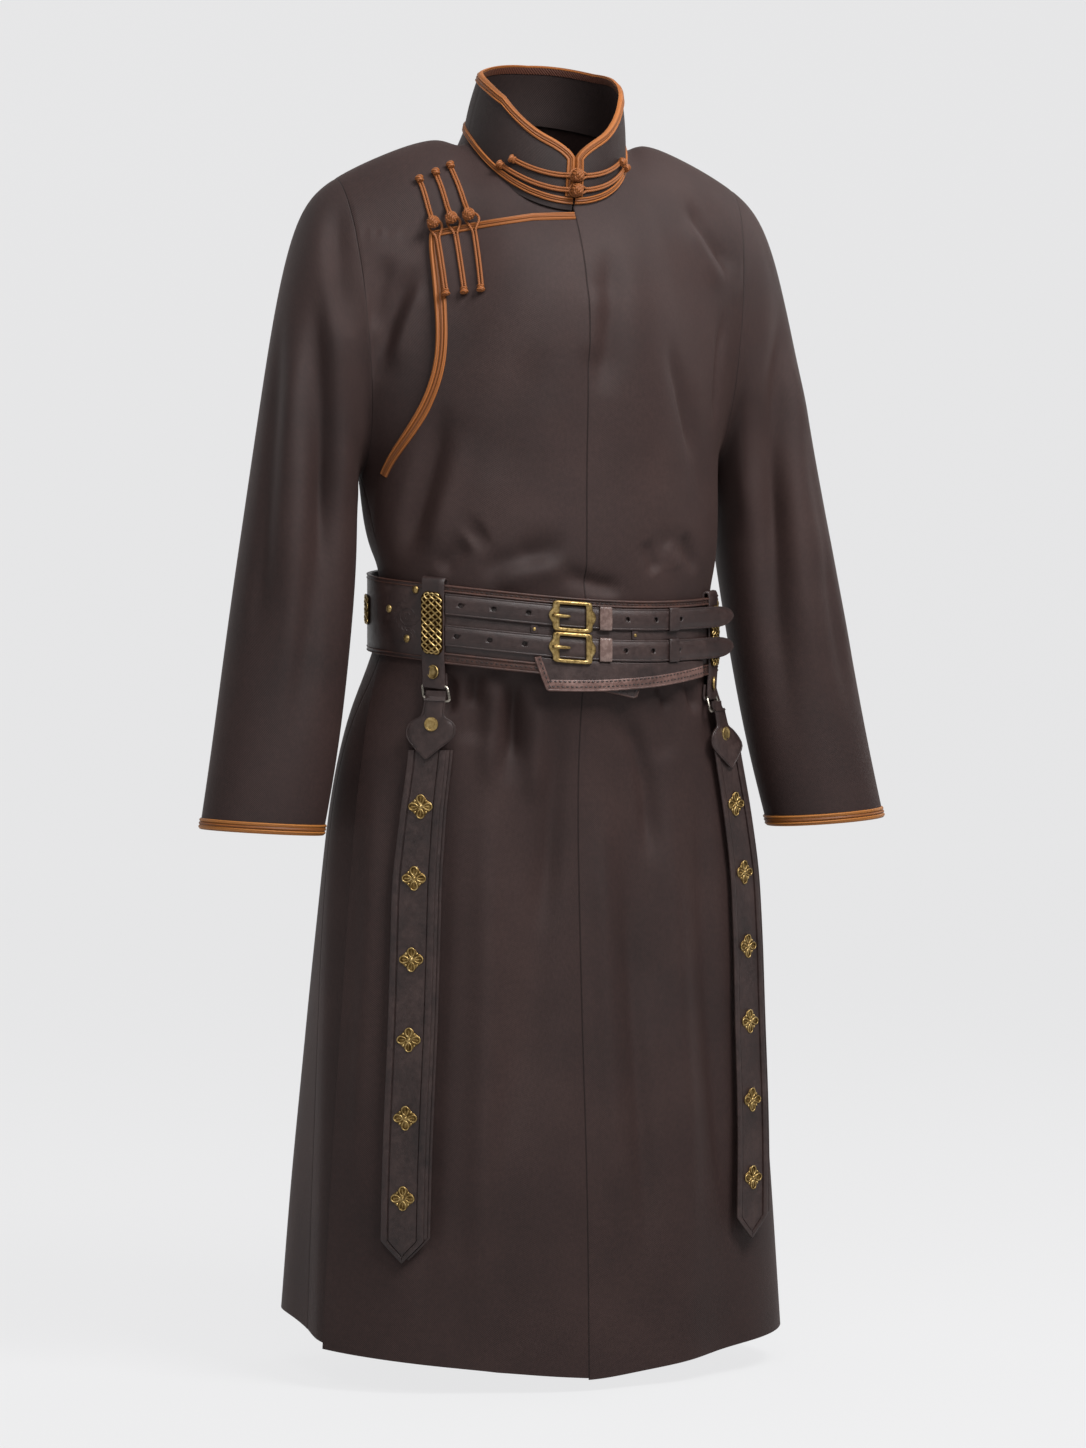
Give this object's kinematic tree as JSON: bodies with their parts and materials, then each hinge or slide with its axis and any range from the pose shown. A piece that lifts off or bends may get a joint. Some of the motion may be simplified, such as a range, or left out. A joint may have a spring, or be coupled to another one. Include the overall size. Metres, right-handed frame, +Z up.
{
  "type": "mongolian deel robe",
  "caption": "Long wrap-front robe with a stand collar, full sleeves and corded frogs, worn with a buckled leather belt and two studded hanging straps.",
  "frame": {"origin": "middle of the neck at the height of the shoulder's neck points, where the wearer's shoulders carry the robe", "axes": "+Z up, front faces -Y, +X towards the wearer's left"},
  "size_m": [0.7267, 0.3563, 1.2965],
  "materials": {
    "cloth": "dark brown twill suiting, matte with a soft sheen",
    "tape": "orange-brown satin cord and braid",
    "leather": "dark brown smooth leather, satin, waxed edges",
    "brass": "antique brass, cast, with darkened hollows",
    "wire": "aged bronze-coloured steel wire"
  },
  "bodies": {
    "root": {"front_left": "cloth", "front_overlap": "cloth", "front_under": "cloth", "back": "cloth", "sleeve_left": "cloth", "sleeve_right": "cloth", "collar": "cloth", "trim_collar": "tape", "trim_neck": "tape", "trim_overlap": "tape", "trim_cuff_left": "tape", "trim_cuff_right": "tape", "frog_chest_1_button": "tape", "frog_chest_1_loop": "tape", "frog_chest_2_button": "tape", "frog_chest_2_loop": "tape", "frog_chest_3_button": "tape", "frog_chest_3_loop": "tape", "frog_collar_1_button": "tape", "frog_collar_1_loop": "tape", "frog_collar_2_button": "tape", "frog_collar_2_loop": "tape", "belt": "leather", "belt_flap_outer": "leather", "belt_flap_inner": "leather", "billet_upper": "leather", "billet_lower": "leather", "keeper_upper_1": "leather", "keeper_upper_2": "leather", "keeper_lower_1": "leather", "keeper_lower_2": "leather", "hanger_loop_right": "leather", "hanger_loop_left": "leather", "tab_right": "leather", "tab_left": "leather", "strap_right": "leather", "strap_left": "leather", "strap_backing_right": "leather", "strap_backing_left": "leather", "buckle_upper": "brass", "buckle_lower": "brass", "prong_upper": "brass", "prong_lower": "brass", "knot_right": "brass", "knot_left": "brass", "ring_right": "wire", "ring_left": "wire", "stud_right_1": "brass", "stud_right_2": "brass", "stud_right_3": "brass", "stud_right_4": "brass", "stud_right_5": "brass", "stud_right_6": "brass", "stud_left_1": "brass", "stud_left_2": "brass", "stud_left_3": "brass", "stud_left_4": "brass", "stud_left_5": "brass", "stud_left_6": "brass"}
  },
  "joints": []
}
